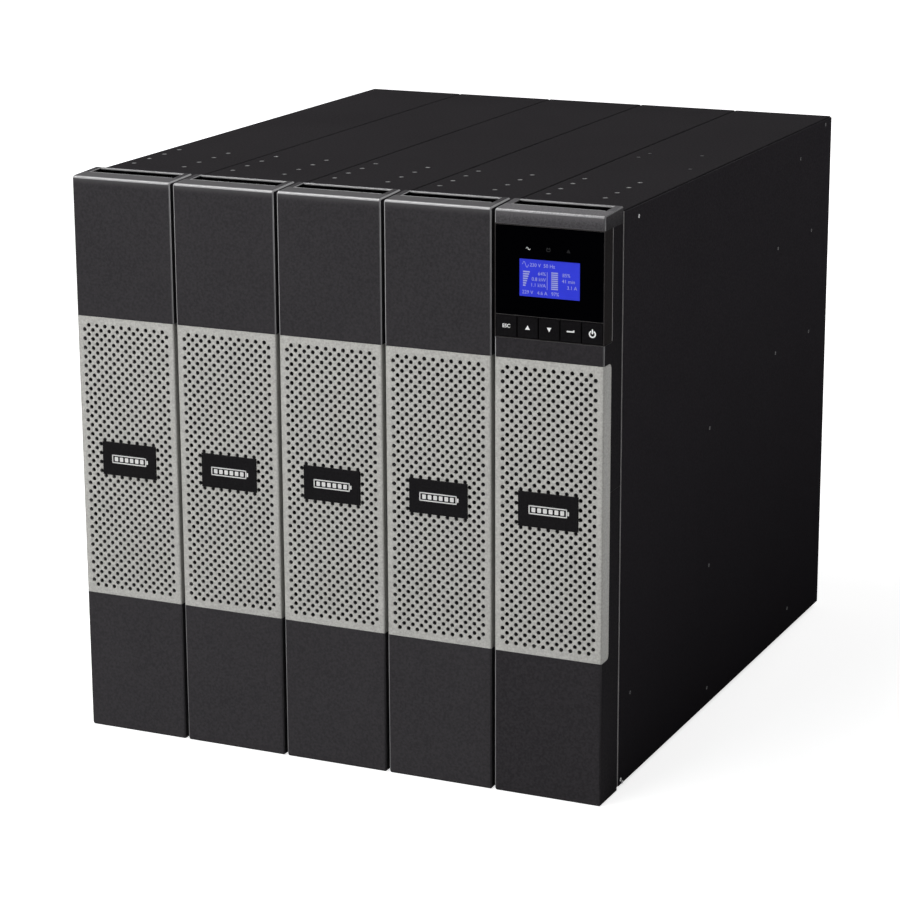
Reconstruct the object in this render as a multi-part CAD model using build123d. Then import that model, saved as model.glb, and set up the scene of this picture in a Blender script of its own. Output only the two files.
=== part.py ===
from build123d import *
from math import sqrt
import os

os.makedirs("parts", exist_ok=True)

# Sizes of the set in millimetres. X runs along the row, Y from front to rear, Z up.
battery_count = 4
module_gap = 0.8
case_width = 86.2
case_depth = 487.0
bezel_height = 441.0
bezel_depth = 35.0
bezel_margin = 1.0
case_inset = 3.0
case_bend = 1.0
cover_thickness = 1.0
badge_proud = 0.8
rear_proud = 4.0

# Places that follow from the sizes above.
module_pitch = case_width + module_gap
bezel_width = case_width - 2 * bezel_margin
total_depth = badge_proud + bezel_depth + case_depth + rear_proud
bezel_front = badge_proud - total_depth / 2
case_front = bezel_front + bezel_depth
case_rear = case_front + case_depth
case_bottom = case_inset
case_top = bezel_height - case_inset
case_height = case_top - case_bottom
case_middle = (case_top + case_bottom) / 2
module_places = [(step - battery_count / 2) * module_pitch for step in range(battery_count + 1)]
battery_places = module_places[:battery_count]
ups_place = module_places[battery_count]

# Bands of the bezel from its top edge down: cap, display module, strip, grille, foot.
cap_height = 12.0
display_height = 82.5
strip_height = 14.5
grille_height = 221.5
display_top = bezel_height - cap_height
display_bottom = display_top - display_height
display_middle = (display_top + display_bottom) / 2
grille_top = display_bottom - strip_height
grille_middle = grille_top - grille_height / 2

# Bezel moulding.
bezel_fall = 1.5
bezel_round = 2.4
bezel_side_bevel = 1.0
bezel_bevel = 1.0
sheet_bend = 1.4
seam_rise = 15.3
seam_width = 0.6
seam_depth = 0.4
seam_height = grille_middle + seam_rise

# Display module of the power unit, let into the bezel across its whole width.
display_depth = 15.0
display_gap = 0.2
display_edge = 0.6

# Finger slot in the top of each bezel, behind the display module.
slot_margin = 6.1
slot_wall = 1.2
slot_back = 2.6
slot_depth = 24.0
slot_bevel = 0.4
slot_width = bezel_width - 2 * slot_margin
slot_setback = display_depth + slot_wall
slot_reach = bezel_depth - slot_setback - slot_back

# Grille sheet folded round the bezel, and the dark pocket behind it.
grille_skin = 1.2
wrap_depth = 14.0
wrap_corner = 4.0
sheet_gap = 0.2
pocket_rim = 5.0
pocket_depth = 8.0
pocket_back = bezel_front + grille_skin + pocket_depth

# Badge plate that passes through the grille and stands on a pillar in the pocket.
badge_width = 47.0
badge_height = 26.3
pillar_margin = 3.0

# Keys below the window, held in one trough with a guide for each stem.
key_names = ["key_escape", "key_up", "key_down", "key_enter", "key_power"]
key_rise = 0.8
key_height = 15.6
key_spacing = 0.6
key_clearance = 0.3
key_cap = 4.2
key_bevel = 0.5
well_wall = 0.85
well_depth = 6.0
stem_size = 8.0
stem_length = 4.0
stem_play = 1.0
well_width = bezel_width - 2 * well_wall
key_count = len(key_names)
key_width = (well_width - 2 * key_clearance - (key_count - 1) * key_spacing) / key_count
key_pitch = key_width + key_spacing
key_bottom = display_bottom + key_rise
key_middle = key_bottom + key_height / 2

# Window above the keys, with the screen in its opening.
window_margin = 0.8
window_rim = 0.8
window_sill = 0.7
window_thickness = 2.4
screen_width = 46.0
screen_height = 26.8
screen_rise = 27.6
screen_thickness = 2.0
screen_gap = 0.2
window_width = bezel_width - 2 * window_margin
window_top = display_top - window_rim
window_bottom = key_bottom + key_height + window_sill
window_height = window_top - window_bottom
window_middle = (window_top + window_bottom) / 2
screen_middle = window_bottom + screen_rise

# Two rows of tapped holes in the top of each case, for rack ears and slide rails.
rail_row_gap = 44.45
rail_hole_pitch = 23.5
rail_hole_count = 4
rail_hole_radius = 2.0
rail_hole_depth = 8.0
rail_shift = -9.9
rail_setback = 40.0

# Rubber pads under the rear of the cases.
pad_width = 64.0
pad_length = 34.0
pad_setback = 46.0

# Rear fittings sink into the case and stand a little proud of it.
fitting_gap = 0.2
fitting_sink = 12.0
fitting_proud = 2.0
fitting_margin = 8.1
half_gap = 4.0
plate = 1.0
fitting_face = case_rear + fitting_proud
fitting_floor = case_rear - fitting_sink
fitting_width = case_width - 2 * fitting_margin
half_width = (fitting_width - half_gap) / 2
half_shift = (fitting_width - half_width) / 2

# Mains outlets: a groove round a core with three blade slots in it.
outlet_size = (27.0, 20.0)
outlet_groove = 2.6
outlet_depth = 11.0
outlet_pitch = (34.0, 33.0)
large_outlet_size = (30.0, 24.0)
large_outlet_groove = 2.8
blade = (2.2, 6.4)
blade_spread = 7.0
blade_drop = 1.6
earth_rise = 4.4

# Mains inlet.
inlet_size = (26.0, 21.0)
inlet_floor = 1.5
inlet_mouth = 6.0

# Data ports, from the top down.
square_port = (8.4, 7.8)
square_tongue = (5.6, 3.2)
square_rise = 16.0
shell_port = (10.0, 18.6)
shell_groove = 1.0
shell_drop = 1.0
terminal = (3.2, 3.2)
terminal_gap = 6.0
terminal_drop = 19.0

# Card slot cover and its thumb screws, beside the data ports.
ports_width = 24.0
card_gap = 2.0
card_width = fitting_width - ports_width - card_gap
ports_shift = (fitting_width - ports_width) / 2
card_shift = (card_width - fitting_width) / 2
thumb_radius = 4.0
thumb_inset = 7.0

# Fan guards: straight slots that fill a circle.
fan_size = 70.0
fan_radius = 32.0
fan_slot = 3.4
fan_slot_pitch = 7.0
fan_slot_count = 9
fan_bar = 3.0
fan_well_depth = 6.0

# Rear of a battery module.
battery_sockets_height = 96.0
battery_sockets_rise = 64.0
battery_cover = (50.0, 26.0)
battery_cover_rise = 30.0
breaker = (30.0, 15.0)
breaker_gap = 1.0
vent = (28.0, 3.0)
vent_pitch = (36.0, 8.0)
vent_rows = 8
vent_drop = 84.0
vent_depth = 5.0

# Power unit's rear from the bottom up, spread evenly over the height of the case.
rear_heights = {
    "outlet_bank_large": 44.0,
    "power_inlet": 42.0,
    "outlet_bank_small": 70.0,
    "card_slot": 52.0,
    "fan_guard_lower": fan_size,
    "fan_guard_upper": fan_size,
}
rear_gap = (case_height - sum(rear_heights.values())) / (len(rear_heights) + 1)
rear_places = {}
rear_level = case_bottom
for fitting, fitting_height in rear_heights.items():
    rear_places[fitting] = rear_level + rear_gap + fitting_height / 2
    rear_level += rear_gap + fitting_height


def front_plane(depth):
    # Looks at the set from the front: X stays X and the sketch's Y is height.
    return Plane(origin=(0, depth, 0), x_dir=(1, 0, 0), z_dir=(0, -1, 0))


def pane(width, height, x, z, near, far, corner=0.0):
    # A flat-fronted prism between two depths, centred on x and z.
    outline = RectangleRounded(width, height, corner) if corner else Rectangle(width, height)
    return extrude(front_plane(far) * Pos(x, z) * outline, amount=far - near)


def front_loop(body):
    return body.edges().group_by(Axis.Y)[0]


def rear_loop(body):
    return body.edges().group_by(Axis.Y)[-1]


def folded_plan(outside, inside, reach):
    # Plan of a band folded round the front of the bezel, between two offsets from its surface.
    outer = Rectangle(bezel_width + 2 * outside, reach + outside, align=(Align.CENTER, Align.MIN))
    inner = Rectangle(bezel_width - 2 * inside, reach, align=(Align.CENTER, Align.MIN))
    outer = Pos(0, bezel_front - outside) * outer
    inner = Pos(0, bezel_front + inside) * inner
    outer = fillet(outer.vertices().group_by(Axis.Y)[0], sheet_bend + outside)
    inner = fillet(inner.vertices().group_by(Axis.Y)[0], sheet_bend - inside)
    return outer - inner


def folded_band(plan, height):
    # Stands the plan up about the grille's middle and rounds the ends of its two wings.
    band = extrude(Pos(0, 0, grille_middle - height / 2) * plan, amount=height)
    return fillet(rear_loop(band).filter_by(Axis.X), wrap_corner)


def grille_recess():
    # Takes the sheet's thickness off the bezel's front and sides, with a little room at the ends.
    return folded_band(folded_plan(case_bend, grille_skin, wrap_depth + sheet_gap), grille_height)


def badge_room(margin, near, far):
    return pane(badge_width + 2 * margin, badge_height + 2 * margin, 0, grille_middle, near, far)


def grille():
    # One folded sheet with a window that the badge plate passes through.
    sheet = folded_band(folded_plan(0, grille_skin, wrap_depth), grille_height - 2 * sheet_gap)
    return sheet - badge_room(sheet_gap, bezel_front, bezel_front + grille_skin)


def badge():
    body = badge_room(0, bezel_front - badge_proud, bezel_front + grille_skin)
    return chamfer(front_loop(body), badge_proud / 2)


def grille_pocket():
    # Hollow behind the grille, with a pillar left standing under the badge.
    width = bezel_width - 2 * (grille_skin + pocket_rim)
    hollow = pane(width, grille_height - 2 * pocket_rim, 0, grille_middle, bezel_front, pocket_back)
    return hollow - badge_room(-pillar_margin, bezel_front, pocket_back)


def slotted(body):
    # Sinks the finger slot into the top face and breaks the edge of its mouth.
    middle = bezel_front + slot_setback + slot_reach / 2
    body -= extrude(Pos(0, middle, bezel_height) * Rectangle(slot_width, slot_reach), amount=-slot_depth)
    top = [face for face in body.faces() if face.inner_wires()][0]
    return chamfer(top.inner_wires()[0].edges(), slot_bevel)


def bezel_seam():
    # Fine line round the sides where the two halves of the moulding meet.
    near = bezel_front + wrap_depth
    ring = pane(case_width, seam_width, 0, seam_height, near, case_front)
    return ring - pane(bezel_width - 2 * seam_depth, seam_width, 0, seam_height, near, case_front)


def side_edges(body):
    # Edges round both side faces, without the rear ones.
    faces = body.faces().sort_by(Axis.X)
    return [edge for face in (faces[0], faces[-1]) for edge in face.edges().sort_by(Axis.Y)[:-1]]


def bezel_block():
    # Side profile, whose top rises to its full height where the rear bevel starts.
    slope = bezel_fall / (bezel_depth - bezel_bevel)
    top_front = (bezel_front, bezel_height - bezel_fall)
    top_rear = (case_front, bezel_height + slope * bezel_bevel)
    profile = Polygon((bezel_front, 0), (case_front, 0), top_rear, top_front, align=None)
    return extrude(Plane.YZ * profile, amount=bezel_width / 2, both=True)


def bezel():
    body = bezel_block()
    body = chamfer(rear_loop(body), bezel_bevel)
    body = fillet(front_loop(body).filter_by(Axis.X), bezel_round)
    body = slotted(chamfer(side_edges(body), bezel_side_bevel))
    return body - grille_recess() - grille_pocket() - bezel_seam()


def ups_bezel():
    # The power unit's bezel has a bay across its whole width for the display module.
    return bezel() - pane(case_width, display_height, 0, display_middle, bezel_front,
                          bezel_front + display_depth)


def key_place(index):
    return (index - (key_count - 1) / 2) * key_pitch


def key_well():
    # Trough for the caps, and a square guide for each stem in its floor.
    floor = bezel_front + well_depth
    guide = stem_size + 2 * key_clearance
    well = pane(well_width, key_height + 2 * key_clearance, 0, key_middle, bezel_front, floor)
    for index in range(key_count):
        well += pane(guide, guide, key_place(index), key_middle, bezel_front, floor + stem_length)
    return well


def display_housing():
    body = pane(bezel_width, display_height - 2 * display_gap, 0, display_middle, bezel_front,
                bezel_front + display_depth)
    body = fillet(front_loop(body).filter_by(Axis.Z), display_edge)
    seat = pane(window_width, window_height, 0, window_middle, bezel_front,
                bezel_front + window_thickness)
    return body - seat - key_well()


def display_window():
    back = bezel_front + window_thickness
    body = pane(window_width - 2 * screen_gap, window_height - 2 * screen_gap, 0, window_middle,
                bezel_front, back)
    return body - pane(screen_width + 2 * screen_gap, screen_height + 2 * screen_gap, 0,
                       screen_middle, bezel_front, back)


def lcd_screen():
    back = bezel_front + window_thickness
    return pane(screen_width, screen_height, 0, screen_middle, back - screen_thickness, back)


def key(index):
    # Cap with a bevelled face, and the stem that its guide holds.
    place = key_place(index)
    back = bezel_front + key_cap
    cap = pane(key_width, key_height, place, key_middle, bezel_front, back)
    stem_end = bezel_front + well_depth + stem_length - stem_play
    stem = pane(stem_size, stem_size, place, key_middle, back, stem_end)
    return chamfer(front_loop(cap), key_bevel) + stem


def rail_holes(count):
    # Two rows of holes, front to back, in the top of a case, spread over the same length.
    span = rail_hole_pitch * (rail_hole_count - 1)
    middle = Pos(rail_shift, case_front + rail_setback + span / 2, case_top)
    drill = Cylinder(rail_hole_radius, rail_hole_depth, align=(Align.CENTER, Align.CENTER, Align.MAX))
    return [middle * place * drill for place in GridLocations(rail_row_gap, span / (count - 1), 2, count)]


def case(width, shift, hole_count):
    body = pane(width, case_height, shift, case_middle, case_front, case_rear, case_bend)
    return body - rail_holes(hole_count)


def foot_pad():
    return extrude(Pos(0, case_rear - pad_setback) * Rectangle(pad_width, pad_length), amount=case_inset)


def sunk_block(width, height, x, z):
    return pane(width, height, x, z, fitting_floor, fitting_face)


def sunk_pocket(width, height, x, z):
    # Room in the case for a sunk block, a gap larger all round.
    return pane(width + 2 * fitting_gap, height + 2 * fitting_gap, x, z, fitting_floor, case_rear)


def outlet(size, groove, x, z):
    # Everything that is cut from a bank's face for one outlet.
    width, height = size
    near = fitting_face - outlet_depth
    ring = pane(width, height, x, z, near, fitting_face)
    ring -= pane(width - 2 * groove, height - 2 * groove, x, z, near, fitting_face)
    left = pane(*blade, x - blade_spread, z - blade_drop, near, fitting_face)
    right = pane(*blade, x + blade_spread, z - blade_drop, near, fitting_face)
    earth = pane(*blade, x, z - blade_drop + earth_rise, near, fitting_face)
    return [ring, left, right, earth]


def outlet_bank_small():
    z = rear_places["outlet_bank_small"]
    body = sunk_block(fitting_width, rear_heights["outlet_bank_small"], 0, z)
    for place in GridLocations(*outlet_pitch, 2, 2):
        body -= outlet(outlet_size, outlet_groove, place.position.X, z + place.position.Y)
    return body


def outlet_bank_large():
    z = rear_places["outlet_bank_large"]
    body = sunk_block(fitting_width, rear_heights["outlet_bank_large"], 0, z)
    for side in (-1, 1):
        body -= outlet(large_outlet_size, large_outlet_groove, side * outlet_pitch[0] / 2, z)
    return body


def power_inlet():
    # Open socket with three blades that stop short of its mouth.
    x = -half_shift
    z = rear_places["power_inlet"]
    floor = fitting_floor + inlet_floor
    tip = fitting_face - inlet_mouth
    body = sunk_block(half_width, rear_heights["power_inlet"], x, z)
    body -= pane(*inlet_size, x, z, floor, fitting_face)
    for side in (-blade_spread, blade_spread):
        body += pane(*blade, x + side, z - blade_drop, floor, tip)
    return body + pane(*blade, x, z - blade_drop + earth_rise, floor, tip)


def battery_socket():
    # Battery connector behind a blanking plate with a narrow margin round it.
    z = rear_places["power_inlet"]
    height = rear_heights["power_inlet"]
    body = sunk_block(half_width, height, half_shift, z)
    margin = 2 * fitting_proud
    edge = pane(half_width, height, half_shift, z, case_rear + plate, fitting_face)
    return body - (edge - pane(half_width - margin, height - margin, half_shift, z,
                               case_rear + plate, fitting_face))


def data_ports():
    # A square port with its tongue, a nine-pin shell and a two-hole terminal.
    z = rear_places["card_slot"]
    floor = fitting_face - outlet_depth / 2
    body = sunk_block(ports_width, rear_heights["card_slot"], ports_shift, z)
    body -= pane(*square_port, ports_shift, z + square_rise, floor, fitting_face)
    body += pane(*square_tongue, ports_shift, z + square_rise, floor, fitting_face - plate)
    width, height = shell_port
    body -= pane(width, height, ports_shift, z - shell_drop, floor, fitting_face)
    body += pane(width - 2 * shell_groove, height - 2 * shell_groove, ports_shift, z - shell_drop,
                 floor, fitting_face + plate)
    for side in (-terminal_gap / 2, terminal_gap / 2):
        body -= pane(*terminal, ports_shift + side, z - terminal_drop, floor, fitting_face)
    return body


def card_slot_cover():
    # Blanking plate held by two thumb screws.
    z = rear_places["card_slot"]
    height = rear_heights["card_slot"]
    body = pane(card_width, height, card_shift, z, case_rear, case_rear + plate)
    reach = height / 2 - thumb_inset
    for side in (-reach, reach):
        knob = front_plane(case_rear + rear_proud) * Pos(card_shift, z + side) * Circle(thumb_radius)
        body += extrude(knob, amount=rear_proud - plate)
    return body


def fan_guard(name):
    # Plate with straight slots that end on a circle, parted by an upright bar.
    z = rear_places[name]
    far = case_rear + plate
    body = pane(fan_size, fan_size, 0, z, case_rear, far)
    for row in range(fan_slot_count):
        rise = (row - (fan_slot_count - 1) / 2) * fan_slot_pitch
        half = sqrt(fan_radius ** 2 - rise ** 2) - fan_bar / 2
        for side in (-1, 1):
            body -= pane(half, fan_slot, side * (half + fan_bar) / 2, z + rise, case_rear, far)
    return body


def fan_well(name):
    return pane(2 * fan_radius, 2 * fan_radius, 0, rear_places[name], case_rear - fan_well_depth, case_rear)


def ups_case():
    body = case(case_width - cover_thickness, -cover_thickness / 2, rail_hole_count)
    for name in ("outlet_bank_large", "outlet_bank_small"):
        body -= sunk_pocket(fitting_width, rear_heights[name], 0, rear_places[name])
    for side in (-half_shift, half_shift):
        body -= sunk_pocket(half_width, rear_heights["power_inlet"], side, rear_places["power_inlet"])
    body -= sunk_pocket(ports_width, rear_heights["card_slot"], ports_shift, rear_places["card_slot"])
    return body - fan_well("fan_guard_lower") - fan_well("fan_guard_upper")


def ups_side_cover():
    # Flat sheet over the whole right side, clear of the bends along its long edges.
    x = (case_width - cover_thickness) / 2
    return pane(cover_thickness, case_height - 2 * case_bend, x, case_middle, case_front, case_rear)


def battery_sockets_middle():
    return case_bottom + battery_sockets_rise


def battery_case():
    # Only the end holes of each rail row are cut; narrow slots let the air out at the rear.
    body = case(case_width, 0, 2)
    body -= sunk_pocket(fitting_width, battery_sockets_height, 0, battery_sockets_middle())
    for place in GridLocations(*vent_pitch, 2, vent_rows):
        body -= pane(*vent, place.position.X, case_top - vent_drop + place.position.Y,
                     case_rear - vent_depth, case_rear)
    return body


def battery_connectors():
    # Two covered battery connectors, one over the other, and a breaker between them.
    z = battery_sockets_middle()
    body = sunk_block(fitting_width, battery_sockets_height, 0, z)
    for side in (-battery_cover_rise, battery_cover_rise):
        body += pane(*battery_cover, 0, z + side, fitting_face, case_rear + rear_proud)
    width, height = breaker
    floor = case_rear - fitting_proud
    body -= pane(width, height, 0, z, floor, fitting_face)
    return body + pane(width - 2 * breaker_gap, height - 2 * breaker_gap, 0, z, floor, fitting_face + plate)


def save(shape, name, x):
    export_step(Pos(x, 0, 0) * shape, f"parts/{name}.step")


battery_pieces = {
    "battery_case": battery_case(),
    "battery_bezel": bezel(),
    "battery_grille": grille(),
    "battery_badge": badge(),
    "battery_connectors": battery_connectors(),
    "battery_foot": foot_pad(),
}
for number, place in enumerate(battery_places, 1):
    for name, shape in battery_pieces.items():
        save(shape, f"{name}_{number}", place)

ups_pieces = {
    "ups_case": ups_case(),
    "ups_side_cover": ups_side_cover(),
    "ups_bezel": ups_bezel(),
    "display_housing": display_housing(),
    "display_window": display_window(),
    "lcd_screen": lcd_screen(),
    "ups_grille": grille(),
    "ups_badge": badge(),
    "outlet_bank_small": outlet_bank_small(),
    "outlet_bank_large": outlet_bank_large(),
    "power_inlet": power_inlet(),
    "battery_socket": battery_socket(),
    "data_ports": data_ports(),
    "card_slot_cover": card_slot_cover(),
    "fan_guard_lower": fan_guard("fan_guard_lower"),
    "fan_guard_upper": fan_guard("fan_guard_upper"),
    "ups_foot": foot_pad(),
}
for index, name in enumerate(key_names):
    ups_pieces[name] = key(index)
for name, shape in ups_pieces.items():
    save(shape, name, ups_place)
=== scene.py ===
import math
import bmesh
import bpy
from mathutils import Euler, Matrix, Vector


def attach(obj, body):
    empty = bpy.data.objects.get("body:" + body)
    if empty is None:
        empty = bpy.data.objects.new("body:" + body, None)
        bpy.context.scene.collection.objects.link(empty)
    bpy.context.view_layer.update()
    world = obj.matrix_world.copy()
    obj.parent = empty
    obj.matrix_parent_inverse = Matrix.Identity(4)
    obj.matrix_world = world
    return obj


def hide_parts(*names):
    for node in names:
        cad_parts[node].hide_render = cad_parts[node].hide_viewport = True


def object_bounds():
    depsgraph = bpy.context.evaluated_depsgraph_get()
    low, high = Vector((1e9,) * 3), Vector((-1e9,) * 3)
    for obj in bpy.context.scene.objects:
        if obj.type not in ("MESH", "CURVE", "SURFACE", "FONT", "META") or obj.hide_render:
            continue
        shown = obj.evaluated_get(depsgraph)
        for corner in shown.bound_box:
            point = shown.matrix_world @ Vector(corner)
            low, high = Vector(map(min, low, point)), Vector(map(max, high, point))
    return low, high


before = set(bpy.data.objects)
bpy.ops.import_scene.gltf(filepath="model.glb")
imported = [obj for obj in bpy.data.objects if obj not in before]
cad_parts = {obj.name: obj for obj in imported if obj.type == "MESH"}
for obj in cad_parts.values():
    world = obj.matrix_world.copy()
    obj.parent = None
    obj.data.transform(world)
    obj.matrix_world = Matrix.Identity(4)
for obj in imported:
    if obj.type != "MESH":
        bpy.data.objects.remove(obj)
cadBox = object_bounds()
print("stage: CAD loaded,", len(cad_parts), "nodes")

# Everything below is in metres, in the frame of the CAD.
modules = {"battery_1": -0.174, "battery_2": -0.087, "battery_3": 0.0, "battery_4": 0.087, "ups": 0.174}
unit = modules["ups"]
layout = {"bezelFront": -0.2626, "bezelWidth": 0.0842, "caseTop": 0.438}
facingFront = (math.pi / 2, 0, 0)
facingBack = (-math.pi / 2, 0, 0)
hair = 1e-5


# Small helpers for modelling with operators

def deselectAll():
    if bpy.context.object and bpy.context.object.mode != "OBJECT":
        bpy.ops.object.mode_set(mode="OBJECT")
    bpy.ops.object.select_all(action="DESELECT")


def pick(*pieces):
    deselectAll()
    for piece in pieces:
        piece.select_set(True)
    bpy.context.view_layer.objects.active = pieces[0]


def startEdit(piece):
    pick(piece)
    bpy.ops.object.mode_set(mode="EDIT")


def endEdit():
    bpy.ops.object.mode_set(mode="OBJECT")


def named(name):
    piece = bpy.context.object
    piece.name = name
    piece.data.name = name
    return piece


def settle(piece):
    # place and size go into the mesh, so the object itself sits at the origin
    pick(piece)
    bpy.ops.object.transform_apply(location=True, rotation=True, scale=True)
    return piece


def newBlock(name, size, place=(0, 0, 0), turn=(0, 0, 0)):
    deselectAll()
    bpy.ops.mesh.primitive_cube_add(size=1, location=place, rotation=turn)
    piece = named(name)
    piece.scale = size
    return settle(piece)


def newCylinder(name, sides, radius, depth, place=(0, 0, 0), turn=(0, 0, 0), ends="NGON"):
    deselectAll()
    bpy.ops.mesh.primitive_cylinder_add(vertices=sides, radius=radius, depth=depth, end_fill_type=ends,
                                        location=place, rotation=turn)
    return settle(named(name))


def newDisc(name, sides, radius, place, turn=(0, 0, 0)):
    deselectAll()
    bpy.ops.mesh.primitive_circle_add(vertices=sides, radius=radius, fill_type="NGON", location=place,
                                      rotation=turn)
    return settle(named(name))


def applyModifiers(piece):
    pick(piece)
    for modifier in list(piece.modifiers):
        bpy.ops.object.modifier_apply(modifier=modifier.name)
    return piece


def walled(piece, thickness):
    wall = piece.modifiers.new("wall", "SOLIDIFY")
    wall.thickness = thickness
    wall.offset = -1
    return applyModifiers(piece)


def joined(name, pieces):
    pick(*pieces)
    if len(pieces) > 1:
        bpy.ops.object.join()
    return settle(named(name))


def copied(source, name, place, turn=(0, 0, 0)):
    pick(source)
    bpy.ops.object.duplicate(linked=False)
    piece = named(name)
    piece.rotation_euler = turn
    piece.location = place
    return settle(piece)


def discard(*pieces):
    for piece in pieces:
        bpy.data.objects.remove(piece)


def smoothByAngle(piece, degrees=35):
    pick(piece)
    bpy.ops.object.shade_smooth_by_angle(angle=math.radians(degrees))
    return piece


def choose(piece, kind, test):
    # in edit mode: select the faces, edges or vertices that pass the test
    bpy.ops.mesh.select_mode(type=kind)
    bpy.ops.mesh.select_all(action="DESELECT")
    mesh = bmesh.from_edit_mesh(piece.data)
    for part in {"FACE": mesh.faces, "EDGE": mesh.edges, "VERT": mesh.verts}[kind]:
        part.select = test(part)
    mesh.select_flush_mode()
    bmesh.update_edit_mesh(piece.data)


def chooseFaces(piece, test):
    choose(piece, "FACE", lambda face: test(face.calc_center_median(), face.normal))


def everyFace(middle, normal):
    return True


def looksUp(middle, normal):
    return normal.z > 0.9


def looksDown(middle, normal):
    return normal.z < -0.9


def looksBack(middle, normal):
    return normal.y > 0.9


def chooseEdges(piece, test):
    choose(piece, "EDGE", lambda edge: test(edge.verts[0].co, edge.verts[1].co))


def chooseVerts(piece, test):
    choose(piece, "VERT", lambda vert: test(vert.co))


def insetFaces(piece, test, *steps):
    chooseFaces(piece, test)
    for thickness, depth in steps:
        bpy.ops.mesh.inset(thickness=thickness, depth=depth)


def dished(piece, test, *steps):
    # a piece that needs nothing but insets
    startEdit(piece)
    insetFaces(piece, test, *steps)
    endEdit()
    return piece


def deleteFaces(piece, test):
    chooseFaces(piece, test)
    bpy.ops.mesh.delete(type="FACE")


def softenAlong(piece, axis, length, offset, segments=2):
    # bevels the edges that run along one axis: 0 for X, 1 for Y, 2 for Z
    chooseEdges(piece, lambda a, b: abs(a[axis] - b[axis]) > length / 2)
    bpy.ops.mesh.bevel(offset=offset, segments=segments)


def softBlock(name, size, place, axis, offset, turn=(0, 0, 0), segments=2):
    block = newBlock(name, size, place, turn)
    startEdit(block)
    softenAlong(block, axis, size[axis], offset, segments)
    endEdit()
    return block


def dress(piece, finish, body="system"):
    piece.data.materials.clear()
    piece.data.materials.append(finishes[finish])
    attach(piece, body)
    return piece


def dressCopies(name, source, spots, finish):
    # one piece made of turned copies of the source
    dress(joined(name, [copied(source, "part", place, turn) for place, turn in spots]), finish)


def dressModules(label, source, finish, chosen=tuple(modules)):
    # a copy for each module, named after it
    for module in chosen:
        dress(copied(source, module + label, (modules[module], 0, 0)), finish)
    discard(source)


# Shader groups shared by several finishes

def newGroup(name, inputs, outputs):
    group = bpy.data.node_groups.new(name, "ShaderNodeTree")
    for label, value in inputs.items():
        group.interface.new_socket(label, in_out="INPUT", socket_type="NodeSocketFloat").default_value = value
    for label in outputs:
        group.interface.new_socket(label, in_out="OUTPUT", socket_type="NodeSocketFloat")
    return group, group.nodes.new("NodeGroupInput").outputs, group.nodes.new("NodeGroupOutput").inputs


def feed(tree, socket, value):
    # a number or a colour is set on the socket, and an output is linked to it
    if isinstance(value, (int, float)):
        socket.default_value = value
    elif isinstance(value, tuple):
        socket.default_value = value + (1.0,) * (4 - len(value))
    else:
        tree.links.new(value, socket)


def newNode(tree, kind, inputs=None, **settings):
    node = tree.nodes.new("ShaderNode" + kind)
    for setting, value in settings.items():
        setattr(node, setting, value)
    for label, value in (inputs or {}).items():
        feed(tree, node.inputs[label], value)
    return node


def mathNode(tree, operation, *values, clamp=False):
    return newNode(tree, "Math", dict(enumerate(values)), operation=operation, use_clamp=clamp).outputs[0]


def product(tree, first, *others, clamp=False):
    # all values multiplied; the clamp is on the last step
    for step, value in enumerate(others, 1):
        first = mathNode(tree, "MULTIPLY", first, value, clamp=clamp and step == len(others))
    return first


def weighted(tree, first, share, second, rest):
    return mathNode(tree, "ADD", product(tree, first, share), product(tree, second, rest))


def noiseNode(tree, place, scale, detail, roughness):
    return newNode(tree, "TexNoise", {"Vector": place, "Scale": scale, "Detail": detail,
                                      "Roughness": roughness}).outputs["Fac"]


def mixColour(tree, factor, first, second):
    return newNode(tree, "Mix", {0: factor, 6: first, 7: second}, data_type="RGBA").outputs[2]


def spread(tree, value, low, high, toLow=0.0, toHigh=1.0, shape="LINEAR"):
    return newNode(tree, "MapRange", {"Value": value, "From Min": low, "From Max": high, "To Min": toLow,
                                      "To Max": toHigh}, interpolation_type=shape).outputs["Result"]


def objectPlace(tree):
    return newNode(tree, "TexCoord").outputs["Object"]


def faceNormal(tree):
    return newNode(tree, "NewGeometry").outputs["Normal"]


def axesOf(tree, vector):
    return newNode(tree, "SeparateXYZ", {0: vector}).outputs


# A noise is given by its scale, detail and roughness, or by the last two where the scale is an input
grainSpec = {"coarser": 0.42, "fineShare": 0.6, "coarseShare": 0.4, "toneLow": 0.34, "toneHigh": 0.66,
             "fineNoise": (2.0, 0.6), "coarseNoise": (2.0, 0.55), "cloudNoise": (3.0, 0.55)}


def makeGrainGroup():
    # moulded or powder-coated grain: a height for the bump and a slight change of tone
    group, given, result = newGroup("surfaceGrain", {"Grain Scale": 1800.0, "Cloud Scale": 14.0},
                                    ("Height", "Tone", "Cloud"))
    spec, place = grainSpec, objectPlace(group)
    fine = noiseNode(group, place, given["Grain Scale"], *spec["fineNoise"])
    coarse = noiseNode(group, place, product(group, given["Grain Scale"], spec["coarser"]),
                       *spec["coarseNoise"])
    feed(group, result["Height"], weighted(group, fine, spec["fineShare"], coarse, spec["coarseShare"]))
    feed(group, result["Tone"], spread(group, coarse, spec["toneLow"], spec["toneHigh"]))
    feed(group, result["Cloud"], noiseNode(group, place, given["Cloud Scale"], *spec["cloudNoise"]))
    return group


wearAndHighlightSpec = {"samples": 4, "patches": (160.0, 3.0, 0.6), "strength": 4.0}


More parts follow.
